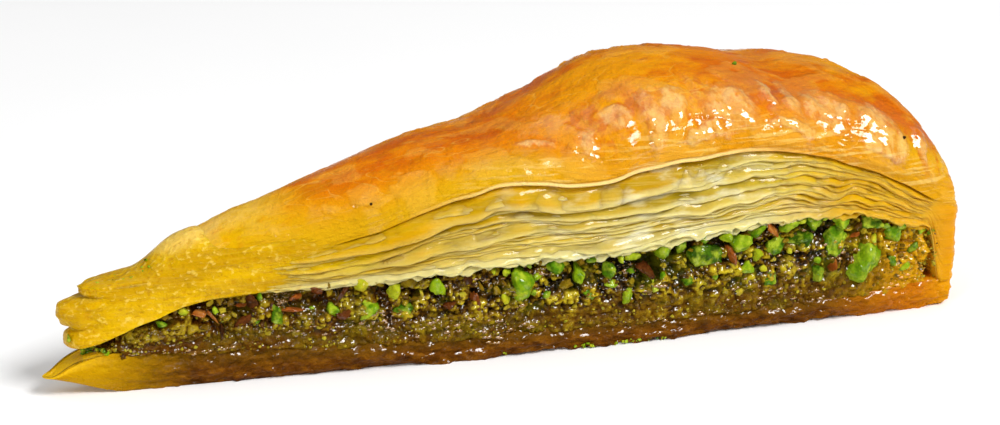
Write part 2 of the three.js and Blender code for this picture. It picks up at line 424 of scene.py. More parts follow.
def blistered(s, side, down):
    """1 on the blisters and 0 between them, with wandering edges."""
    shift = 2.5 * (side > 0)
    across = s + shift + 1.1 * rough(34, s / 3, down / 3.5 + 6 * side)
    up = down + 1.6 * rough(35, s / 3, down / 3.5 + 6 * side)
    total = np.zeros(s.shape)
    for place, low, wide, tall in BLISTERS:
        away = ((across - place) / wide) ** 2 + ((up - low) / tall) ** 2
        total = np.maximum(total, 1 - smooth(away, 0.2, 1.5))
    return total * np.where(side > 0, 0.7 * smooth(s, 96, 112), 1)


def crust_lift(s, side, down):
    """Relief of the crust: down is the distance from its edge, measured over the dome."""
    puffed = smooth(s, 60, 100)
    drift = 2.5 * noise(21, down / 9, s / 25)
    puffs = crease(22, (s + drift) / 9.5, side * 3 + down / 60)
    swells = 0.7 * rough(23, s / 21, down / 15 + 7 * side, layers=2)
    level = down / 0.95 + 1.6 * noise(24, s / 12, side * 3) + 0.5 * noise(37, s / 3, side * 3)
    hem = np.exp(-down / 4.5) * 0.3 * (1 - level % 1) ** 2
    flakes = smooth(rough(25, s / 7 + down / 30, down / 6 + 3 * side), 0.12, 0.2)
    shards = smooth(rough(26, s / 3.5 - down / 8, down / 9 + 5 * side), 0.25, 0.32)
    wrinkles = 1 - crease(27, s / 2.2 + 0.4 * down / 5, down / 4.0 + side)
    shoulder = np.exp(-(((down - 9) / 9) ** 2))
    blisters = blistered(s, side, down)
    crinkles = rough(30, (s - drift) / 1.9, down / 3.6 + 3 * side, layers=2)
    lift = swells * (0.45 + 0.55 * puffed) + (0.25 + 0.75 * puffed) * shoulder * 0.7 * (puffs - 0.6)
    lift += 0.65 * blisters + crinkles * (0.12 + 0.26 * blisters) + 0.12 * crinkles * shoulder * puffed
    bend = s - FOLD - 0.8 * noise(36, down / 5) - 2 * (side > 0)
    lift -= 0.55 * np.exp(-((bend / 0.55) ** 2)) * smooth(down, 3, 8)
    lift += 0.25 * np.exp(-(((bend - 1.4) / 0.8) ** 2))
    lift += hem + 0.28 * flakes + 0.24 * shards - 0.2 * wrinkles * (0.4 + 0.6 * puffed)
    return lift, flakes, blisters


print(len(BLISTERS), "blisters stand off the front of the crust")

# %% [markdown]
# The crust starts below its own lip, comes out to the edge of the lip, turns over it and then
# climbs to the crest, ring by ring. The relief needs to know how far each point lies from the
# lip, so the smooth dome is made first and measured, and the relief is pushed out of it last.

# %% Its edge on the cut faces
CRUST_TIP = 16.6
CRUST_RINGS = 96
LIP = 0.45  # thickness of the crust's cut edge
CREST_END = LENGTH - 18  # where the crest starts to round down to the outer edge


def crust_edge_at(s, side):
    """Height of the crust's edge on one cut face, a little uneven."""
    return crust_edge(s) + 0.45 * noise(31, s / 14, side * 4) + 0.2 * noise(32, s / 4, side * 4)


print(f"at mid length the crust's edge is {float(crust_edge_at(LENGTH / 2, -1)):.1f} mm up")


# %% The golden crust
def golden_crust():
    end = LENGTH - 0.3
    low = lambda lift: lambda s, side, axis: crust_edge_at(s, side) + lift
    rings = [ring(CRUST_TIP, end, inward, -2.4, low(rise), CREST_END)
             for inward, rise in ((1, 1.6), (0.5, 1.4), (0.15, 1.0), (0, 0.5))]

    def jut(extra):
        """The lip stands out in the middle, and lies flush near the tip and the outer edge."""
        def out(s, side, axis):
            proud = between(s, 50, 80, 128, 146)
            wavy = 0.3 * noise(33, s / 6, side * 4)
            sunk = 1.3 * (1 - smooth(s, 36, 60)) + 0.25 * smooth(s, LENGTH - 16, LENGTH - 6)
            return (extra + wavy) * (0.2 + 0.8 * proud) - 0.2 * (1 - proud) - sunk
        return out

    for extra, lift in ((-0.6, 0.1), (0.0, -0.05), (0.25, 0.08), (0.3, 0.5 * LIP), (0.2, LIP)):
        rings.append(ring(CRUST_TIP, end, 0, jut(extra), low(lift), CREST_END))
    lip_rings = len(rings)
    for k in range(1, CRUST_RINGS + 1):
        angle = (k / CRUST_RINGS) ** 1.25 * math.pi / 2
        rise = math.sin(angle) ** 0.85
        inward = 1.0 if k == CRUST_RINGS else 1 - math.cos(angle) ** 1.1

        def z(s, side, axis):
            low_tip = 1.6 * (1 - smooth(s, 20, 36))
            share = rise ** (1 + 0.45 * smooth(s, LENGTH - 9, LENGTH - 1))
            return (crust_edge_at(s, side) + LIP) * (1 - share) + crest(axis) * share - low_tip

        def settle(inward):
            def out(s, side, axis):
                sunk = 1.2 * (1 - smooth(s, 34, 60)) + 0.3 * smooth(s, LENGTH - 16, LENGTH - 6)
                return (-0.1 - sunk) * (1 - inward)
            return out

        rings.append(ring(CRUST_TIP, end, inward, settle(inward), z, CREST_END))
    rings = np.array(rings)
    step = np.linalg.norm(np.diff(rings[lip_rings - 1 :], axis=0), axis=-1)
    down = np.zeros(rings.shape[:2])
    down[lip_rings:] = np.cumsum(step, axis=0)
    side = np.broadcast_to(outline(CRUST_TIP, end, ALONG)[2], down.shape)
    lift, flakes, blisters = crust_lift(rings[..., 0], side, down)
    across = np.abs(rings[..., 1]) / (np.abs(rings[..., 1]) + 6)
    lift = lift * smooth(down, 0, 1.2) * across * smooth(rings[..., 0], CRUST_TIP - 1, CRUST_TIP + 5)
    lift[-1] = 0
    rings = swell(rings, lift)
    # Both sides meet on the crest, so the relief fades there to one that they share.
    rings[..., 2] += 0.22 * rough(28, rings[..., 0] / 9, layers=2) * (1 - across) * smooth(down, 3, 9)
    points, faces, used = loft(rings)
    marks = {"down": down, "flake": flakes, "blister": blisters}
    marks = {key: value.reshape(-1)[used] for key, value in marks.items()}
    return add_piece("golden_crust", points, faces, marks), rings, down


crust, crust_rings, crust_down = golden_crust()

# %% [markdown]
# ## Real sheets
#
# Between the nuts and the crust the cut shows the edges of thin sheets. A striped texture
# could draw them, but each one lifts, sags and catches the light on its own, so each is a
# real ribbon round the slice: thinner than half a millimetre, wavy, and here and there bent
# down over the ones below it, as a knife leaves them.

# %% How each sheet lies
SHEETS = 24


def sheet_level(s, side, up):
    """Height of a sheet, with waves that neighbouring sheets share."""
    low, high = stack_under(s) + 0.25, crust_edge_at(s, side) - 0.1
    wavy = 0.3 + 0.7 * between(s, 98, 125, 150, 160)
    free = np.clip(4 * up * (1 - up) + 0.2, 0, 1)
    z = low + (high - low) * up
    wave = 0.8 * noise(41, s / 8, z / 5 + 4 * side) + 0.65 * noise(42, s / 3.2, z / 2.0 + 4 * side)
    return z + wave * wavy * free


def sheet_reach(k, s, side):
    """How far out a sheet comes, how far it sags, and how much it lies over the ones below."""
    up = (k + 0.5) / SHEETS
    shown = between(s, SHEETS_START, SHEETS_FULL + 2, LENGTH - 12, LENGTH - 3)
    ragged = 0.25 * noise(80 + k, s / 5, side * 3) + 0.16 * noise(110 + k, s / 1.4, side * 3)
    flap = smooth(noise(50 + k, s / 24, side * 3), -0.6, 0.2) if k % 4 == 3 else 0.2 + 0 * s
    flap = flap * (1 - 0.8 * smooth(s, 108, 132))
    if k == SHEETS - 2:
        flap = np.maximum(flap, between(s, 56, 88, 112, 140))
    leading = (k % 2) * smooth(s, 80, 115)
    under_lip = 0.55 * smooth(up, 0.78, 0.95) * (1 - smooth(s, 84, 104))
    reach = under_lip - 0.75 + 1.1 * ragged + 0.85 * flap + 0.3 * leading
    sag = 0.3 + 0.3 * np.abs(noise(170 + k, s / 9, side)) + (1.0 + 2.4 * up) * flap + 0.4 * leading
    if k < 2:
        reach = -0.2 + 0.5 * k + 0.45 * rough(140 + k, s / 1.5, side)
        sag = 0.4 + 1.3 * np.abs(rough(200 + k, s / 4.5, side))
        sag += 0.7 * np.abs(noise(220 + k, s / 1.2, side))
    flush = -0.75 - 0.3 * up + 0.35 * ragged - 0.4 * smooth(s, LENGTH - 10, LENGTH - 5)
    return reach * shown + flush * (1 - shown), sag * shown + 0.12 * (1 - shown), flap * shown


print(SHEETS, "sheets, each with its own reach and sag")

# %% [markdown]
# A sheet is a closed ribbon: one strip of points along its top and one along its underside,
# joined at the lip and at the root. The section bends down more and more towards the lip, as
# a wet sheet does. Cloth simulation would also sag, but it would not keep to the cut face.

# %% Sheets round the slice
ROOT = -3.0  # how far in a sheet starts
SHEET_ALONG = 260
# A sheet from its root to its lip: share of the way out, and share of the sag.
SECTION = ((0, 0), (0.62, 0.03), (0.82, 0.28), (0.94, 0.62), (1.0, 1.0))


def one_sheet(k):
    """The points of one sheet, as loops round its section, and how near each is to its lip."""
    up = ((k + 0.5) / SHEETS) ** 0.95
    s, y, side = outline(5 if up < 0.75 else 8.5, STACK_END, SHEET_ALONG, rim=20)
    out_s, out_y = outward(s, y)
    reach, sag, flap = sheet_reach(k, s, side)
    z = sheet_level(s, side, up)
    thick = 0.34 + 0.1 * between(s, 70, 100, 125, 145) - 0.12 * flap
    loops, lips = [], []
    for above in (0, 1):
        for share, fall in SECTION[::-1] if above else SECTION[::2]:
            ripple = 0.85 * noise(230 + k, s / 4.2, 2.2 * fall, side) * flap * min(1.6 * fall, 1)
            out = ROOT + (reach - ROOT) * share + above * 0.6 * thick * fall + ripple
            level = z - sag * fall + above * thick * (1 - 0.2 * share)
            loops.append(np.stack([s + out * out_s, y + out * out_y, level], -1))
            lips.append(np.full(len(s), share * fall))
    return np.array(loops), np.array(lips)


def sheets(numbers):
    points, faces, marks, first = [], [], {"lip": [], "tint": [], "up": []}, 0
    for k in numbers:
        loops, lips = one_sheet(k)
        place = np.arange(lips.size).reshape(lips.shape) + first
        right, up = np.roll(place, -1, 1), np.roll(place, -1, 0)
        faces.append(np.stack([place, right, np.roll(right, -1, 0), up], -1).reshape(-1, 4))
        points.append(loops.reshape(-1, 3))
        marks["lip"].append(lips.ravel())
        marks["tint"].append(np.full(lips.size, (k * 0.618) % 1))
        marks["up"].append(np.full(lips.size, k / SHEETS))
        first += lips.size
    marks = {key: np.concatenate(value) for key, value in marks.items()}
    return np.concatenate(points), np.concatenate(faces), marks


lower_sheets = add_piece("lower_sheets", *sheets(range(0, SHEETS // 2)))
upper_sheets = add_piece("upper_sheets", *sheets(range(SHEETS // 2, SHEETS)))

# %% [markdown]
# ## The pistachio filling
#
# Ground pistachio and syrup make a coarse paste, and larger chopped kernels sit in it, most
# of them near the top. The paste is one closed body with deep relief. The kernels are loose
# pieces pressed into both cut faces, so they keep their own corners and colours.

# %% The paste
PASTE_RINGS = 54
PASTE_ALONG = 520
HOLLOW = (0.625, 0.66, 2.6)  # share of the length, share of the height, and radius


def billow(seed, *axes):
    """Rounded lumps with sharp valleys between them, from 0 to about 1."""
    return np.clip(np.abs(noise(seed, *axes)) * 1.6, 0, 1) ** 0.75


def paste_height(s, side, up):
    low = base_top(s) - 0.5 + 0.5 * noise(60, s / 4, side)
    return low + (nuts_top(s) + 0.5 - low) * up


def paste_relief(s, side, up):
    """How far the paste stands out of the cut face."""
    level = paste_height(s, side, up)
    crumbly = 0.4 + 0.8 * smooth(up, 0.25, 0.6)
    lumps = 1.3 * (billow(61, s / 3.3, level / 2.5 + 6 * side) - 0.5) * crumbly
    fine = 0.45 + 0.55 * smooth(up, 0.2, 0.5)
    bits = 1.0 * fine * (billow(62, s / 1.0, level / 0.85 + 6 * side) - 0.5)
    grit = 0.6 * fine * rough(63, s / 0.6, level / 0.55 + 6 * side, layers=2)
    share, height, radius = HOLLOW
    centre = paste_height(np.array(share * LENGTH), -1, height)
    away = np.hypot(s - share * LENGTH, level - centre) / radius
    hollow = -2.6 * (1 - smooth(away, 0.5, 1.1)) * (side < 0)
    near_wall = smooth(s, WALL - 10, WALL - 1)
    recess = 1.7 * smooth(up, 0.45, 0.85) * (1 - near_wall)
    return lumps + bits + grit + hollow - 0.6 - recess + 0.35 * near_wall


def paste_body():
    tip, end = NUTS_TIP, WALL + 0.8
    floor = lambda s, *_: base_top(s) - 0.6
    roof = lambda s, *_: nuts_top(s) + 0.5
    rings = [ring(tip, end, inward, -1.6, floor, along=PASTE_ALONG) for inward in (1, 0.5, 0.15)]
    proud = [np.zeros(len(rings[0]))] * 3
    for up in np.linspace(0, 1, PASTE_RINGS):
        z = lambda s, side, axis: paste_height(s, side, up)
        out = lambda s, side, axis: paste_relief(s, side, up)
        rings.append(ring(tip, end, 0, out, z, along=PASTE_ALONG))
        s, _, side = outline(tip, end, PASTE_ALONG)
        # How far the paste stands out, which its finish uses to paint the deeper paste darker as shade.
        proud.append(paste_relief(s, side, up) + 1.0 * smooth(up, 0.45, 0.85) + 0.6)
    rings += [ring(tip, end, inward, -2.6, roof, along=PASTE_ALONG) for inward in (0.15, 0.5, 1)]
    proud += [np.zeros(len(rings[0]))] * 3
    points, faces, used = loft(rings)
    up = np.concatenate([[0] * 3, np.linspace(0, 1, PASTE_RINGS), [1] * 3])
    marks = {"proud": np.array(proud), "up": np.tile(up[:, None], len(rings[0]))}
    marks["sky"] = normals(np.array(rings))[..., 2]
    return points, faces, {key: value.reshape(-1)[used] for key, value in marks.items()}


paste = add_piece("nut_paste", *paste_body())

# %% [markdown]
# A chopped kernel breaks along flat faces, so each one starts as a ball that is trimmed by a
# few random planes. Softening the trim rounds its corners a little, and stretching it gives
# kernels of every shape. The same trim makes slivers of skin when it is pressed nearly flat.

# %% Chopped pieces
def ball(level):
    shape = bmesh.new()
    bmesh.ops.create_icosphere(shape, subdivisions=level, radius=1)
    points = np.array([v.co for v in shape.verts])
    faces = np.array([[v.index for v in f.verts] for f in shape.faces])
    shape.free()
    return points, faces


BALLS = {level: ball(level) for level in (1, 2, 3, 4)}
CRISP = 80  # how sharp the corners between the planes are


def chopped(rng, level, planes, grain=0.11):
    """Points of one trimmed ball about one unit in radius, and its faces."""
    directions, faces = BALLS[level]
    cuts = rng.normal(size=(planes, 3))
    cuts /= np.linalg.norm(cuts, axis=1, keepdims=True)
    depth = rng.uniform(0.4, 0.8, planes)
    reach = np.minimum(depth / np.maximum(directions @ cuts.T, 0.05), 1.4)
    reach = -np.log(np.exp(-CRISP * reach).sum(1) + math.exp(-CRISP * 1.1)) / CRISP
    seed = int(rng.integers(200))
    bumpy = grain * rough(seed, *(directions * 2.2 + 4).T) - grain * 0.5 * billow(seed, *(directions * 3.5).T)
    return directions * (reach * (1 + bumpy))[:, None], faces


def turned(points, rng):
    """The points, turned at random about their own middle."""
    axis = rng.normal(size=3)
    angle = rng.uniform(0, math.tau)
    axis /= np.linalg.norm(axis)
    cross = np.cross(axis, points)
    along = np.outer(points @ axis, axis)
    return points * math.cos(angle) + cross * math.sin(angle) + along * (1 - math.cos(angle))


def on_cut_face(s, side, out, z):
    """The place at a height on a cut face, moved out of it by a distance."""
    w = float(half_width(np.array(s), NUTS_TIP, side))
    lean = math.hypot(1, SLOPE)
    return np.array([s - out * SLOPE / lean, side * (w + out / lean), z])


def paste_at(s, side, up):
    """How far the paste stands out of a cut face at one place, and the height of that place."""
    return [float(f(np.array(s), side, up)) for f in (paste_relief, paste_height)]


class Pile:
    """Many small closed shapes that become one piece."""

    def __init__(self, name):
        self.name, self.points, self.faces, self.tints = name, [], [], []
        self.count = 0

    def drop(self, points, faces, tint):
        self.points.append(points)
        self.faces.append(faces + self.count)
        self.tints.append(np.full(len(points), tint))
        self.count += len(points)

    def finish(self, faceted=False):
        points, faces, tints = [np.concatenate(part) for part in (self.points, self.faces, self.tints)]
        print(f"{self.name}: {len(self.points)} of them")
        return add_piece(self.name, points, faces, {"tint": tints}, faceted)


# %% [markdown]
# Each cut face carries pieces of four kinds: large kernels, small kernels, slivers of skin and
# clods of ground nut. The largest kernels are what the eye goes to, so they are listed one by one.
# A particle system could scatter the rest, but its pieces are lost when the model is exported,
# so they are real meshes that are pressed in one at a time, wherever there is still room.

# %% The kinds of pieces
rng = np.random.default_rng(7)
# The largest kernels: share of the length, share of the filling's height, radius in millimetres.
LARGE = ((0.868, 0.42, 4.6), (0.8, 0.72, 3.2), (0.835, 0.62, 2.9), (0.845, 0.95, 2.6), (0.69, 0.7, 3.2),
         (0.725, 0.8, 2.7), (0.905, 0.72, 2.6), (0.93, 0.6, 1.8), (0.485, 0.7, 3.0), (0.548, 0.7, 2.4),
         (0.562, 0.45, 2.3), (0.325, 0.58, 2.7), (0.235, 0.55, 2.2), (0.762, 0.3, 2.4), (0.818, 0.28, 2.5),
         (0.52, 0.92, 2.1), (0.64, 0.85, 2.2), (0.40, 0.76, 2.0), (0.88, 0.9, 2.5), (0.66, 0.9, 2.0),
         (0.765, 0.7, 2.4), (0.745, 0.95, 2.2), (0.29, 0.6, 1.9), (0.36, 0.5, 1.8), (0.6, 0.4, 1.8),
         (0.81, 0.97, 2.3), (0.915, 0.95, 1.8), (0.78, 0.95, 2.0), (0.92, 0.36, 2.0), (0.71, 0.97, 2.0))
# Each kind has its proportions, how deep it sits, and how near a neighbour may come.
LARGE_KERNEL = dict(stretch=[1.1, 0.85, 0.8], sunk=0.5, overlap=0.5, planes=11)
KERNEL = dict(stretch=[1.1, 0.85, 0.75], sunk=0.6, overlap=0.7)
SKIN = dict(stretch=[1.2, 0.85, 0.24], sunk=0.35, overlap=0.55, planes=7, grain=0.3)
CLOD = dict(stretch=[1.2, 0.9, 0.8], sunk=0.75, overlap=0.72, planes=8, grain=0.4)
kernels, skins, grains = Pile("green_kernels"), Pile("nut_skins"), Pile("nut_grains")
print(len(LARGE), "large kernels for each cut face")

# %% [markdown]
# A piece goes in unless it would sit on a neighbour, so a list is kept of what is there already.
# The large kernels go first, because they need the most room. A physics simulation could pack
# the pieces too, but they would fall out of the cut, and it would take minutes.

# %% Pressing them in
taken = []


def press_in(pile, s, up, side, radius, level, tint, stretch, sunk, overlap, planes=9, grain=0.14):
    """Puts one chopped piece on a cut face, if there is room for it."""
    z = min(float(paste_height(np.array(s), side, up)), float(nuts_top(s)) + 0.5 - 0.8 * radius)
    if any(side == b and math.hypot(s - a, z - c) < overlap * (radius + r) for a, b, c, r in taken):
        return
    taken.append((s, side, z, radius))
    points, faces = chopped(rng, level, planes, grain)
    points = turned(points * stretch, rng) * radius
    pile.drop(points + on_cut_face(s, side, -sunk * radius, z), faces, tint)
    rng.uniform()  # one draw is passed over, so that every later piece keeps its place


for side in (-1, 1):
    for share, up, radius in LARGE:
        s = share * LENGTH + (0 if side < 0 else rng.uniform(-4, 4))
        level = 4 if side < 0 and radius > 2.2 else 3
        press_in(kernels, s, up, side, radius, level, rng.uniform(0, 0.6), **LARGE_KERNEL)
print(len(taken), "large kernels found room")

# %% [markdown]
# Small kernels crowd the upper part of the filling and grow fewer towards the tip, where the
# filling is thin and mostly paste. Slivers of skin lie among them, about one for every three.

# %% Small kernels and skins
for tries in range(1500):
    side = -1 if tries % 2 else 1
    s = NUTS_TIP + 9 + (WALL - NUTS_TIP - 10) * rng.uniform() ** 0.8
    up = 1 - 0.6 * rng.uniform() ** 1.4
    radius = rng.uniform(0.8, 2.0) * (0.75 if s < 45 else 1)
    kind = rng.uniform()
    if kind < 0.35 * (0.35 + 0.65 * float(smooth(s, 60, 110))):
        press_in(kernels, s, up, side, radius, 3 if radius > 1.3 else 2, rng.uniform(), **KERNEL)
    elif kind > 0.91:
        press_in(skins, s, up, side, radius * 1.4, 3, rng.uniform(), **SKIN)
print(len(taken), "pieces with the small kernels and the skins")

# %% [markdown]
# Clods of ground nut fill the room that is left, and fine grains are strewn over the paste
# itself. The grains are too small to push each other away, so they need no room of their own.

# %% Clods and fine grains
for tries in range(1500):
    side = -1 if tries % 2 else 1
    s = NUTS_TIP + 4 + (WALL - NUTS_TIP - 4) * rng.uniform()
    up = 0.2 + 0.78 * rng.uniform() ** 0.8
    radius = 0.6 + 1.5 * rng.uniform() ** 2
    if rng.uniform() < 0.35 + 0.65 * float(smooth(s, 50, 90)):
        press_in(grains, s, up, side, radius, 2, rng.uniform(), **CLOD)
for tries in range(2600):
    side = -1 if tries % 3 else 1
    s = NUTS_TIP + 1 + (WALL - NUTS_TIP - 1) * rng.uniform()
    up = rng.uniform(0.02, 0.96)
    size = 0.16 + 0.45 * rng.uniform() ** 2
    points, faces = chopped(rng, 1, 6)
    points = turned(points * [1, 0.8, 0.7], rng) * size
    relief, z = paste_at(s, side, up)
    grains.drop(points + on_cut_face(s, side, relief - 0.15 * size, z), faces, rng.uniform())
print(len(grains.points), "clods and fine grains on both cut faces")

# %% [markdown]
# Syrup stands in beads on the paste and on the base, and each bead shows one bright point of
# light. A glossy patch on a flat face would mirror the light only where the face happens to
# turn to it, but a bead is round, so it always has one spot that does. They gather in drifts.

# %% Beads of syrup
beads = Pile("syrup_beads")
for tries in range(6500):
    side = -1 if tries % 3 else 1
    s = 14 + (WALL - 16) * rng.uniform() ** 1.1
    up = rng.uniform(-0.5, 0.9)  # below 0 is on the base
    if noise(98, s / 5, up * 4 + 8 * side) - 0.6 * (up < 0) < rng.uniform(0, 0.7):
        continue
    size = 0.12 + 0.26 * rng.uniform() ** 2
    directions, faces = BALLS[2 if size > 0.24 else 1]
    if up > 0:
        relief, z = paste_at(s, side, up)
        spot = on_cut_face(s, side, relief - 0.1 * size, z)
    else:
        w = float(half_width(np.array(s), 0, side)) + rng.uniform(-0.5, -0.2)
        spot = [s, side * w, float(base_top(s)) * (1 + up * 1.4)]
    beads.drop(directions * size * [1.8, 0.6, 0.8] + spot, faces, rng.uniform())
beads = beads.finish()
kernels, skins, grains = kernels.finish(), skins.finish(), grains.finish(faceted=True)

# %% [markdown]
# ## The soaked base
#
# The bottom sheets drink most of the syrup and sink into one dark, sticky layer. It still
# shows faint lines where the sheets were, and its pointed tip lifts off the plate.

# %% The base
BASE_RINGS = 30
BASE_ALONG = 480


def foot(s, *_):
    """Height of the underside, which lifts off the plate at the tip."""
    return 3.5 * (1 - smooth(s, -1, 14)) + 0.02


def base_body():
    def top(s, *_):
        return base_top(s) - 0.9 * (1 - smooth(s, 0, 5))

    rings = [ring(0, LENGTH, inward, -0.8, foot, along=BASE_ALONG) for inward in (1, 0.5, 0.1)]
    for up in np.linspace(0, 1, BASE_RINGS):
        def z(s, side, axis):
            ragged = 0.6 * np.clip(noise(90, s / 3.0, side) + 0.1, 0, 1) * smooth(s, 15, 25)
            low = foot(s) + ragged
            return low + (top(s) - low) * up

        def out(s, side, axis):
            level = z(s, side, axis)
            lines = 0.14 * rough(91, s / 12, level / 0.7 + 8 * side, layers=2)
            lumps = 0.5 * noise(92, s / 9, level / 3 + 8 * side)
            lumps += 0.4 * noise(97, s / 3.5, level / 1.2, side)
            bits = 0.42 * rough(93, s / 0.9, level / 0.6 + 8 * side, layers=2)
            rounding = -1.0 * (1 - up) ** 3 - (0.7 + 0.4 * (1 - smooth(s, 6, 18))) * up**4
            tuck = (-0.75 - 0.3 * (1 - up)) * smooth(s, LENGTH - 10, LENGTH)
            return (lines + lumps + bits) * smooth(s, 5, 22) + rounding * smooth(s, -4, 6) + tuck - 0.1

        rings.append(ring(0, LENGTH, 0, out, z, along=BASE_ALONG))
    inset = lambda s, side, axis: -1.2 * smooth(s, 4, 20) - 0.2
    rings += [ring(0, LENGTH, inward, inset, top, along=BASE_ALONG) for inward in (0.1, 0.5, 1)]
    points, faces, used = loft(rings)
    up = np.concatenate([[0] * 3, np.linspace(0, 1, BASE_RINGS), [1] * 3])
    marks = {"up": np.tile(up[:, None], len(rings[0])), "sky": normals(np.array(rings))[..., 2]}
    return points, faces, {key: value.reshape(-1)[used] for key, value in marks.items()}


base = add_piece("soaked_base", *base_body())

# %% [markdown]
# Crumbs of green nut stick to the foot of the base, lie on the top bunch and sit in the cleft
# at the tip, and a few burnt specks lie on the crust. They could be painted on, but a crumb
# stands up and throws a shadow, so each is a small chopped piece, like the kernels.

# %% Crumbs
crumbs = Pile("green_crumbs")
rng = np.random.default_rng(19)


def crumb(pile, spot, size, tint=None):
    points, faces = chopped(rng, 2, 6)
    tint = rng.uniform() if tint is None else tint
    pile.drop(turned(points * [1, 0.8, 0.6], rng) * size + spot, faces, tint)


for tries in range(700):
    side = -1 if tries % 2 else 1
    s = rng.uniform(12, LENGTH - 14)
    if noise(95, s / 7, side) > 0.5:
        size = rng.uniform(0.2, 0.55)
        w = float(half_width(np.array(s), 0, side)) + rng.uniform(-1.6, -0.6)
        crumb(crumbs, [s, side * w, size + 0.9 * rng.uniform() ** 3], size)
for tries in range(18):  # on the top bunch at the tip
    s = rng.uniform(9, 19)
    y = rng.uniform(-2.5, 0.5)
    near = np.hypot(stack_points[:, 0] - s, stack_points[:, 1] - y) < 0.8
    if near.any():
        crumb(crumbs, [s, y, stack_points[near, 2].max() - 0.3], rng.uniform(0.3, 0.5))
for tries in range(24):  # in the cleft between the base and the lowest bunch
    s = rng.uniform(7, 11)
    w = float(half_width(np.array(s), NUTS_TIP, -1))
    spot = [s, -w * rng.uniform(0.5, 1.15), float(base_top(s)) + rng.uniform(0, 0.8)]
    crumb(crumbs, spot, rng.uniform(0.3, 0.6))
crumb(crumbs, [4.6, -2.1, float(nuts_top(4.0)) + 2.4], 0.8, 0.05)  # one in the lower cleft
crumbs = crumbs.finish()


def on_crust(s, down):
    """The point of the front of the crust nearest to a distance from the tip and from the edge."""
    away = np.hypot(crust_rings[..., 0] - s, crust_down - down) + 99 * (crust_rings[..., 1] > 0)
    return crust_rings[np.unravel_index(np.argmin(away), away.shape)]


specks = Pile("crust_specks")
SPECKS = ((55, 4.5, 0.35, 0.0), (151, 8, 0.45, 0.1), (163, 6, 0.5, 0.0), (126, 21, 0.75, 1.0))
for s, down, size, tint in SPECKS:
    crumb(specks, on_crust(s, down), size, tint)
specks = specks.finish()

# %% [markdown]
# ## A small language for finishes
#
# A finish is a graph of nodes. Wiring each node by hand hides what the finish does, so two
# small classes let it be written like sums. The first is a wire: a value that runs through
# the graph, which can be added to, multiplied and limited like a number.

# %% Wires
class Wire:
    """A value that runs through a finish. The usual operators join it to numbers and wires."""

    def __init__(self, finish, socket):
        self.finish, self.socket = finish, socket

    def maths(self, operation, *terms):
        return self.finish.node("ShaderNodeMath", {"operation": operation}, dict(enumerate(terms)))

    def __add__(self, other):
        return self.maths("ADD", self, other)

    def __mul__(self, other):
        return self.maths("MULTIPLY", self, other)

    def __sub__(self, other):
        return self.maths("SUBTRACT", self, other)

    def __rsub__(self, other):
        return self.maths("SUBTRACT", other, self)

    __radd__, __rmul__ = __add__, __mul__

    def rise(self, low, high):
        """0 below low, 1 above high, and an S curve between."""
        inputs = {"Value": self, "From Min": low, "From Max": high}
        return self.finish.node("ShaderNodeMapRange", {"interpolation_type": "SMOOTHSTEP"}, inputs)

    def band(self, low, high, fall, end):
        """0, then 1 from high to fall, then 0 again from end on."""
        return self.rise(low, high) * (1 - self.rise(fall, end))

    def clipped(self):
        return self.finish.node("ShaderNodeClamp", {}, {"Value": self})


print("wires know", ", ".join(name for name in vars(Wire) if not name.startswith("_")))

# %% [markdown]
# The second is the finish itself, which makes nodes and feeds them. Patches of colour are sized
# in millimetres of real surface, so a number can be checked with a ruler on the real food.
# Colours are named as they look on a screen, because that is how they are compared.

# %% Finishes
def paint(red, green, blue):
    """A colour as it looks, 0 to 255, turned into the light that it reflects."""
    shares = [c / 255 for c in (red, green, blue)]
    return (*[c / 12.92 if c < 0.04 else ((c + 0.055) / 1.055) ** 2.4 for c in shares], 1)


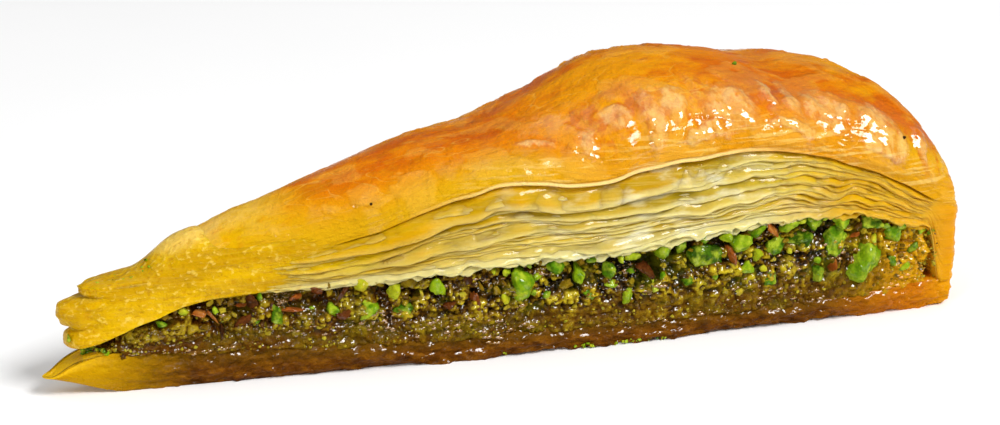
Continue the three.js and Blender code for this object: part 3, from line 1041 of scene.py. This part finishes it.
class Finish:
    """A material under construction, measured in millimetres of the slice."""

    def __init__(self, name, **numbers):
        self.material = bpy.data.materials.new(name)
        self.material.use_nodes = True
        self.tree = self.material.node_tree
        self.shader = self.tree.nodes["Principled BSDF"]
        for key, value in numbers.items():
            self.shader.inputs[key.replace("_", " ")].default_value = value
        place = self.node("ShaderNodeTexCoord", output="Object")
        self.place = self.vector("SCALE", place, Scale=1 / MM)
        self.x = self.node("ShaderNodeSeparateXYZ", {}, {0: self.place}, "X") - TIP_X
        self.z = self.node("ShaderNodeSeparateXYZ", {}, {0: self.place}, "Z")

    def node(self, kind, settings=None, inputs=None, output=0):
        """Adds a node: settings first, such as the stops of a ramp, then numbers or wires."""
        made = self.tree.nodes.new(kind)
        for key, value in (settings or {}).items():
            if key != "stops":
                setattr(made, key, value)
                continue
            while len(made.color_ramp.elements) < len(value):
                made.color_ramp.elements.new(1)
            for stop, (position, colour) in zip(made.color_ramp.elements, value):
                stop.position, stop.color = position, colour
        for key, value in (inputs or {}).items():
            self.feed(made.inputs[key], value)
        return Wire(self, made.outputs[output])

    def feed(self, socket, value):
        if isinstance(value, Wire):
            self.tree.links.new(value.socket, socket)
        else:
            socket.default_value = value

    def vector(self, operation, *vectors, **inputs):
        inputs = dict(enumerate(vectors)) | inputs
        return self.node("ShaderNodeVectorMath", {"operation": operation}, inputs)

    def patches(self, size, stretch=(1, 1, 1), shift=0, detail=3, roughness=0.5):
        """Soft patches about size millimetres across, from 0 to 1, stretched along an axis."""
        scale = [1 / (size * s) for s in stretch]
        place = self.vector("MULTIPLY_ADD", self.place, scale, [shift] * 3)
        inputs = {"Vector": place, "Scale": 1, "Detail": detail, "Roughness": roughness}
        return self.node("ShaderNodeTexNoise", {}, inputs)

    def mark(self, name):
        """A value that was stored on the points of the mesh."""
        return self.node("ShaderNodeAttribute", {"attribute_name": name}, {}, "Fac")

    def mix(self, share, low, high):
        """low where the share is 0 and high where it is 1."""
        return self.node("ShaderNodeMix", {"data_type": "RGBA"}, {0: share, 6: low, 7: high}, 2)

    def washes(self, colour, *washes):
        """Lays washes over a colour, one after the other: each is a share and a paint."""
        for share, wash in washes:
            colour = self.mix(share, colour, paint(*wash) if isinstance(wash, tuple) else wash)
        return colour

    def ramp(self, value, *stops):
        """A colour that runs through paints: each stop is a place from 0 to 1 and a paint."""
        stops = [(place, paint(*stop)) for place, stop in stops]
        return self.node("ShaderNodeValToRGB", {"stops": stops}, {"Fac": value})

    def bump(self, height, depth, under=None):
        """Bumps of a depth in millimetres, on top of other bumps."""
        inputs = {"Height": height, "Distance": depth * MM}
        if under is not None:
            inputs["Normal"] = under
        return self.node("ShaderNodeBump", {}, inputs)

    def use(self, **inputs):
        for key, value in inputs.items():
            self.feed(self.shader.inputs[key.replace("_", " ")], value)
        print(f"{self.material.name}: {len(self.tree.nodes)} nodes")
        return self.material


def dress(piece, material, node=None):
    """Puts a finish on a piece, and hides the part of the frame that it stands for."""
    piece.data.materials.append(material)
    if node:
        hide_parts(node)


print("amber syrup as light:", [round(c, 3) for c in paint(217, 150, 0)[:3]])

# %% [markdown]
# ## Baked and buttered crust
#
# Butter and heat give the crust its gold. It is deepest on the broad top, where the oven
# reached first, yellower at the tip and down the outer edge, where syrup collects, and pale
# on the puffs near the cut, where single sheets stand off the rest; part of that pale is a
# painted highlight of the window. A clear, smooth coat stands for the butter and the syrup.

# %% The crust's finish
SYRUP = (1, 0.7, 0.2, 1)  # the tint of a soft shine on buttery pastry
coat = dict(Coat_Roughness=0.06, Coat_IOR=1.65, Specular_IOR_Level=0.12, Specular_Tint=SYRUP)
soft = dict(Subsurface_Weight=0.1, Subsurface_Radius=(1.0, 0.55, 0.12), Subsurface_Scale=2 * MM)
gold = Finish("buttered_crust", **coat, **soft)
down, blister, flake = gold.mark("down"), gold.mark("blister"), gold.mark("flake")
broad = gold.patches(26, (1.4, 0.8, 0.8), 3)
toasted = gold.patches(11, (1.5, 0.7, 0.7), 9, detail=6, roughness=0.62)
mottle = gold.patches(2.6, (1.6, 1, 1), 19, detail=5, roughness=0.65)
near_rim = gold.x.rise(136, 154) * (1 - down.rise(8, 24) * 0.5)
shoulder = down.band(1, 5, 13, 20) * gold.x.rise(70, 96)
drips = gold.patches(3, (0.7, 0.7, 3), 44, detail=4).rise(0.48, 0.6)
colour = gold.mix(gold.x.rise(34, 54) - 0.9 * near_rim, paint(212, 162, 0), paint(218, 124, 0))
colour = gold.washes(
    colour,
    (gold.x.band(84, 98, 110, 124) * 0.7, (222, 150, 6)),
    ((broad * 0.5 + toasted * 0.65).rise(0.52, 0.67) * down.rise(6, 14) * 0.9, (192, 84, 0)),
    (mottle.rise(0.5, 0.72) * 0.4, (222, 148, 8)),
    ((1 - mottle.rise(0.3, 0.5)) * 0.35, (202, 104, 0)),
    (shoulder * drips * 0.7, (200, 96, 0)))
print("the crust's gold takes", len(gold.tree.nodes), "nodes")

# %% [markdown]
# Near its cut edge the crust is paler and lined by the sheets that it is made of. A blister is
# one thin sheet with air below it: orange round its foot, with a torn outline, and cream that is
# painted light where light comes through it and a painted highlight where it mirrors the window.
# A plain noise would put them anywhere, so they follow the real relief.

# %% Its edge and its blisters
edge_lines = gold.patches(0.8, (9, 9, 0.75), 6, detail=4)
hem = (1 - down.rise(3, 8)) * gold.x.rise(60, 90)
soaked_hem = (1 - down.rise(1, 10)) * (1 - gold.x.rise(76, 100)) * gold.x.rise(30, 44)
bright = gold.patches(2.6, (1, 1, 1.8), 21, detail=5, roughness=0.6).rise(0.36, 0.6)
torn = gold.patches(2.4, (0.7, 1, 2.2), 51, detail=6, roughness=0.7) - 0.5
# The cream on a blister is painted light where light comes through the thin sheet, and partly a painted
# highlight of the window; the bright patches make that painted cream brighter in places.
window = (blister + torn * 4).rise(0.2, 1.3) * blister.rise(0, 0.4)  # where light comes through
colour = gold.washes(
    colour,
    (hem * 0.7, (210, 146, 16)),
    (soaked_hem * 0.85, (204, 160, 12)),
    (hem * edge_lines.rise(0.5, 0.64) * 0.5, (238, 204, 116)),
    (blister.rise(0.05, 0.5) * (1 - window) * 0.35, (204, 104, 0)),
    (window * (0.2 + bright * 0.35), (244, 204, 122)))
print("with its edge and its blisters", len(gold.tree.nodes))

# %% [markdown]
# Thin flakes overlap on the dome, so their pale edges are the steps of a smooth noise. The
# shine is a clear coat over everything, strongest on the blisters and on the shoulder.

# %% Its flakes, and the shine
leafing = gold.patches(8, (3, 1, 0.8), 33, detail=2) * 9  # thin flakes, as steps of a smooth noise
step = leafing.maths("FRACT", leafing)
edges = (1 - step.rise(0, 0.1)) * gold.patches(9, (1, 1, 1), 41).rise(0.45, 0.6)
# A pale streak along the top near the tip is a painted highlight: light that the glaze mirrors there, put
# into the colour.
painted_top_highlight = gold.x.band(18, 26, 32, 46) * down.rise(5, 9)
standing = gold.x.band(58, 84, 112, 134)
colour = gold.washes(
    colour,
    (edges * 0.4 + flake * 0.18, (238, 186, 80)),
    (painted_top_highlight * mottle.rise(0.3, 0.6) * 0.4, (240, 204, 110)),
    ((1 - down.rise(0.05, 0.5)) * 0.8 * standing, (244, 216, 140)))
wrinkle = gold.patches(1.9, (1.2, 1, 1), 15, detail=6, roughness=0.68)
normal = gold.bump(wrinkle, 0.8)
normal = gold.bump(step, 0.2, normal)
normal = gold.bump(edge_lines * hem, 0.12, normal)
normal = gold.bump(gold.patches(0.8, (1.6, 1, 1), 5, detail=4), 0.16, normal)
shine = 0.32 + mottle * 0.25
glazed = gold.patches(6, (1, 1, 1.6), 27).rise(0.52, 0.64) * 0.4 * (1 - down.rise(12, 20)) + blister * 0.9
glazed = glazed + shoulder * bright * 0.6
gold.use(Base_Color=colour, Roughness=shine, Coat_Weight=glazed.clipped(), Normal=normal)
dress(crust, gold.material, "top_pastry")

# %% [markdown]
# ## Sheets
#
# Raw-looking sheets are pale and a little green where the light comes through them. Near the
# tip and the outer edge syrup has turned them amber. The thin lip of each sheet is palest.

# %% The sheets' finish
def sheet_finish(name, lips):
    """The finish of real sheets, which have lips, or of the body behind them, which has none."""
    leaf = Finish(name, Coat_Roughness=0.07, Coat_IOR=1.45, Specular_IOR_Level=0.12, Specular_Tint=SYRUP,
                  Subsurface_Weight=0.4, Subsurface_Radius=(1.0, 0.75, 0.3), Subsurface_Scale=2.5 * MM)
    blotch = leaf.patches(9, (1.8, 1, 0.6), 4, detail=3)
    dry, wet = leaf.x.band(54, 108, 112, 142), leaf.x.rise(146, 162)
    pale = leaf.mix(blotch.rise(0.4, 0.62), paint(154, 126, 12), paint(178, 150, 46))
    amber = leaf.mix(blotch.rise(0.4, 0.7), paint(186, 142, 0), paint(214, 170, 2))
    rim = leaf.mix(blotch, paint(202, 130, 0), paint(212, 150, 0))
    colour = leaf.washes(amber, (dry, pale), (wet, rim))
    if lips:
        high = leaf.mark("up").rise(0.5, 1)
        colour = leaf.washes(colour, (high * (1 - leaf.x.rise(90, 130)) * 0.7, (204, 148, 4)))
    # A pale streak along the top of the tip's stack is a painted highlight, where its glaze mirrors the
    # light.
    streak = (leaf.z - leaf.x * 0.33 - 15.4).rise(0, 1.4) * (1 - leaf.x.rise(40, 60)) * leaf.x.rise(13, 22)
    colour = leaf.washes(colour, (streak * blotch.rise(0.35, 0.6) * 0.5, (236, 200, 110)))
    if lips:
        tint, lip = leaf.mark("tint"), leaf.mark("lip")
        fringe = (1 - leaf.mark("up").rise(0.04, 0.16)) * leaf.x.band(28, 50, 120, 140)
        colour = leaf.washes(
            colour,
            (tint.rise(0.3, 0.9) * 0.3, (216, 190, 100)),
            (lip.rise(0.6, 1) * (0.15 + dry * 0.6), (238, 216, 136)),
            (leaf.x.rise(122, 150) * 0.5, (220, 150, 0)),
            (fringe * 0.65, (214, 206, 146)))
    else:
        # The body behind the sheets is painted paler from the middle on: painted light that fills the shade
        # in the gaps between the sheets.
        colour = leaf.washes(colour, (leaf.x.rise(60, 90) * (1 - wet) * 0.7, (226, 188, 70)))
    # Near-white patches on the drier sheets are painted highlights, standing in for broken reflections of the
    # window.
    painted_highlight_patches = leaf.patches(3.4, (2, 1, 0.7), 61, detail=4).rise(0.5, 0.72)
    lines = leaf.patches(0.6, (14, 14, 0.7), 6, detail=3)
    fibres = leaf.patches(1.6, (1.5, 1, 0.6), 8, detail=4)
    # At the wet tip these patches make real bumps and also paint the colour: pale painted glints on their
    # tops and darker amber painted shade in their hollows.
    sparkle_bumps_and_painted_glints = leaf.patches(0.9, (1.2, 1, 1), 52, detail=2)
    wet_tip = 1 - leaf.x.rise(30, 60)
    colour = leaf.washes(
        colour,
        (painted_highlight_patches * dry * 0.5, (250, 242, 204)),
        (lines.rise(0.5, 0.7) * (0.06 + dry * 0.16), (240, 208, 120)),
        (sparkle_bumps_and_painted_glints.rise(0.56, 0.72) * wet_tip * 0.4, (248, 220, 110)),
        ((1 - sparkle_bumps_and_painted_glints.rise(0.32, 0.42)) * wet_tip * 0.5, (182, 128, 0)))
    normal = leaf.bump(lines, 0.08 if lips else 0.16)
    normal = leaf.bump(fibres, 0.35, normal)
    normal = leaf.bump(leaf.patches(2.2, (0.8, 1, 1.4), 28, detail=4), 0.25, normal)
    normal = leaf.bump(sparkle_bumps_and_painted_glints * wet_tip, 0.5, normal)
    glazed = leaf.patches(3, (1.6, 1, 0.8), 14, detail=3).rise(0.36, 0.62) * (0.2 + dry * 0.8)
    return leaf.use(Base_Color=colour, Roughness=0.3 + fibres * 0.3, Coat_Weight=glazed, Normal=normal)


dress(stack, sheet_finish("syrup_soaked_sheets", False))
sheet_material = sheet_finish("thin_sheets", True)
dress(lower_sheets, sheet_material)
dress(upper_sheets, sheet_material)

# %% [markdown]
# ## Nuts
#
# Pistachio is vivid green where it was freshly chopped, yellow-green at its heart and
# purple-brown on its skin. The paste between is olive and brown, wet with syrup, and full
# of tiny facets that sparkle, so its roughness swings between wet and dull in small patches.

# %% The paste's finish
paste_look = Finish("nut_and_syrup_paste", Coat_Roughness=0.06, Coat_IOR=1.6, Specular_IOR_Level=0.12,
                    Specular_Tint=SYRUP, **soft)
grit, clumps = paste_look.patches(1.3, (1.2, 1, 1), 2, 5, 0.65), paste_look.patches(5, (1.5, 1, 0.8), 7)
proud, soaked = paste_look.mark("proud"), 1 - paste_look.mark("up").rise(0.05, 0.45)
near_rim = paste_look.mix(clumps, paint(206, 132, 0), paint(226, 176, 20))
# The ramp runs dark to pale with the grit, which is the paste's own colour, and with how far the paste stands
# out, so deep hollows get painted shade.
colour = paste_look.ramp(proud * 0.3 + grit * 0.6 + 0.1, (0.26, (18, 6, 1)), (0.4, (72, 42, 3)),
                         (0.52, (128, 98, 8)), (0.66, (204, 180, 36)))
colour = paste_look.washes(
    colour,
    (clumps.rise(0.45, 0.65) * 0.5, (110, 112, 10)),
    (soaked * 0.4, (110, 70, 4)),
    ((1 - paste_look.x.rise(20, 90)) * 0.5, (92, 46, 3)),
    (paste_look.x.rise(138, 156) * 0.85, near_rim))
normal = paste_look.bump(grit, 0.5)
normal = paste_look.bump(paste_look.patches(0.35, (1, 1, 1), 12, 3), 0.35, normal)
glints = paste_look.patches(0.8, (1.4, 1, 1), 31, 3).rise(0.42, 0.5) * paste_look.mark("sky").rise(0.1, 0.4)
paste_look.use(Base_Color=colour, Roughness=0.5 - glints * 0.25, Coat_Weight=glints, Normal=normal)
dress(paste, paste_look.material, "pistachio_filling")

# %% [markdown]
# All chopped pieces share one recipe. Each piece carries a tint of its own, which picks its
# place on a run of paints from dark to pale, and a mottle shifts that place a little from
# spot to spot. One material for each kind is enough, where one for each piece would be slow.

# %% The finishes of chopped pieces
def nut_finish(name, *stops, heart=None):
    """A mottled nut. Its tint picks a place on the ramp, and its heart shows in soft patches."""
    nut = Finish(name, Coat_Roughness=0.1, Coat_IOR=1.6, Specular_IOR_Level=0.2, Specular_Tint=SYRUP, **soft)
    mottle = nut.patches(1.4, (1, 1, 1), 3, detail=4)
    colour = nut.ramp((nut.mark("tint") * 0.75 + mottle * 0.6 - 0.17).clipped(), *stops)
    if heart:
        colour = nut.washes(colour, (nut.patches(1.9, (1, 1, 1), 8, 5).rise(0.42, 0.66) * 0.65, heart))
    normal = nut.bump(mottle, 0.5)
    normal = nut.bump(nut.patches(0.5, (1, 1, 1), 23, 3), 0.2, normal)
    glaze = nut.patches(1.1, (1, 1, 1), 17, 2).rise(0.5, 0.6) * 0.6
    return nut.use(Base_Color=colour, Roughness=0.35 + mottle * 0.3, Coat_Weight=glaze, Normal=normal)


green = nut_finish("chopped_pistachio", (0.1, (30, 66, 2)), (0.32, (74, 120, 4)), (0.52, (122, 152, 10)),
                   (0.78, (164, 168, 26)), (1.0, (186, 154, 34)), heart=(178, 194, 48))
skin = nut_finish("pistachio_skin", (0.1, (46, 18, 6)), (0.45, (92, 42, 12)), (0.75, (146, 76, 22)),
                  (1.0, (188, 130, 60)))
meal = nut_finish("ground_pistachio", (0.1, (66, 38, 4)), (0.35, (108, 82, 8)), (0.6, (134, 114, 16)),
                  (0.85, (172, 154, 40)), (1.0, (132, 144, 22)))
burnt = nut_finish("burnt_speck", (0.3, (40, 20, 6)), (0.5, (52, 24, 8)), (0.7, (90, 132, 20)))
dress(kernels, green)
dress(skins, skin)
dress(grains, meal)
dress(crumbs, green)
dress(specks, burnt)

# %% [markdown]
# Syrup is a dark amber liquid, but a small bead of it shows mostly its bright point of light.
# Real refraction would be slow and noisy at this size, so the bead is an amber body under a
# hard, clear coat that mirrors the window.

# %% Syrup
syrup = Finish("syrup_beads", Coat_Roughness=0.03, Coat_Weight=1.0, Coat_IOR=2.2, Specular_IOR_Level=0.2,
               Specular_Tint=SYRUP, **soft)
tone = syrup.patches(2, (1, 1, 1), 9)
colour = syrup.mix(tone, paint(96, 52, 3), paint(150, 104, 8))
colour = syrup.washes(colour, (syrup.x.rise(136, 154), (214, 140, 4)))
syrup.use(Base_Color=colour, Roughness=0.15 + tone * 0.2)
dress(beads, syrup.material)

# %% [markdown]
# ## The base's finish
#
# Syrup turns the base dark amber, with a wet shine broken by thousands of small pits. The
# thin tip stays yellow because light comes through it, and the outer edge is orange. The top of
# its point gets painted light that fills the shadow of the sheets above it.

# %% Soaked base
amber = Finish("syrup_soaked_base", Coat_Roughness=0.06, Coat_IOR=1.6, Specular_IOR_Level=0.1,
               Specular_Tint=SYRUP, **soft)
streak = amber.patches(1.6, (1.8, 1.8, 0.8), 5, detail=5, roughness=0.65)
spots = amber.patches(3, (1.5, 1, 1), 9, detail=4)
up, sky = amber.mark("up"), amber.mark("sky")
# Where the point faces up it is painted lighter: painted light that fills the shadow cast by the bunches of
# sheets above it.
nose = (1 - amber.x.rise(5, 15)) * sky.rise(0.1, 0.6)
colour = amber.ramp(streak, (0.32, (56, 24, 1)), (0.5, (94, 50, 3)), (0.68, (132, 82, 12)))
colour = amber.washes(
    colour,
    (spots.rise(0.5, 0.7) * 0.4, (118, 72, 6)),
    (up.rise(0.35, 0.9) * 0.6, (96, 66, 5)),
    (amber.x.rise(132, 156), amber.mix(spots, paint(162, 78, 2), paint(200, 124, 8))),
    (amber.x.rise(154, 162) * 0.85, amber.mix(spots, paint(210, 136, 0), paint(228, 164, 4))),
    (1 - amber.x.rise(4, 26), amber.mix(spots, paint(180, 128, 0), paint(198, 154, 0))),
    (nose * 0.6, (236, 190, 30)))
normal = amber.bump(streak, 0.3)
normal = amber.bump(amber.patches(0.45, (1.3, 1, 1), 4, 4), 0.3, normal)
glints = amber.patches(0.8, (1.8, 1, 1), 31, 3).rise(0.48, 0.56) * 0.8
glints = glints * amber.x.rise(0, 12) * sky.rise(0.1, 0.4)
amber.use(Base_Color=colour, Roughness=0.3 + spots * 0.3, Coat_Weight=glints, Normal=normal)
dress(base, amber.material, "bottom_pastry")

# %% [markdown]
# ## Studio
#
# The slice lies on a seamless white table under a large soft window of light above and to
# the right of the viewer. Everything that the crest could mirror stays dim, so its orange
# stays deep, and the big light shows only on the shoulder of the dome.

# %% Table, lights and camera
def add_light(name, direction, distance, size, power):
    lamp = bpy.data.lights.new(name, "AREA")
    lamp.shape, lamp.size, lamp.size_y = "RECTANGLE", *size
    lamp.energy = power
    light = bpy.data.objects.new(name, lamp)
    away = Vector(direction).normalized()
    light.location = away * distance
    light.rotation_euler = away.to_track_quat("Z", "Y").to_euler()
    bpy.context.scene.collection.objects.link(light)
    return light


bpy.ops.mesh.primitive_plane_add(size=3)
floor = bpy.context.object
floor.name = "table"
white = Finish("white_table", Roughness=0.6)
grain = white.patches(40, (1, 1, 1), 1)
white.use(Base_Color=white.mix(grain, (0.95, 0.95, 0.95, 1), (0.97, 0.97, 0.97, 1)))
floor.data.materials.append(white.material)

add_light("window", (0.37, -0.57, 0.73), 1.8, (0.84, 0.64), 33)
add_light("overhead", (-0.1, 0.1, 1), 1.7, (2.2, 2.2), 10.5)
add_light("side_fill", (-0.75, -0.55, 0.35), 0.9, (0.2, 0.2), 2.4)
world = bpy.data.worlds.new("room")
bpy.context.scene.world = world
world.use_nodes = True
world.node_tree.nodes["Background"].inputs["Color"].default_value = (1, 1, 1, 1)
world.node_tree.nodes["Background"].inputs["Strength"].default_value = 0.18

AZIMUTH, ELEVATION = math.radians(-23.3), math.radians(20)
DISTANCE = 2.533  # from the point that it looks at, in lengths of the slice
aim = Vector((0.004 * LENGTH, 0, 0.437 * HEIGHT)) * MM
back = Vector((math.sin(AZIMUTH) * math.cos(ELEVATION), -math.cos(AZIMUTH) * math.cos(ELEVATION),
               math.sin(ELEVATION)))
lens = bpy.data.cameras.new("camera")
lens.lens, lens.sensor_width = 85, 36
camera = bpy.data.objects.new("camera", lens)
camera.location = aim + back * (DISTANCE * LENGTH * MM)
camera.rotation_euler = back.to_track_quat("Z", "Y").to_euler()
bpy.context.scene.collection.objects.link(camera)
bpy.context.scene.camera = camera
bpy.context.scene.view_settings.view_transform = "Standard"
print("camera is", round(camera.location.length / MM), "mm from the middle of the slice")
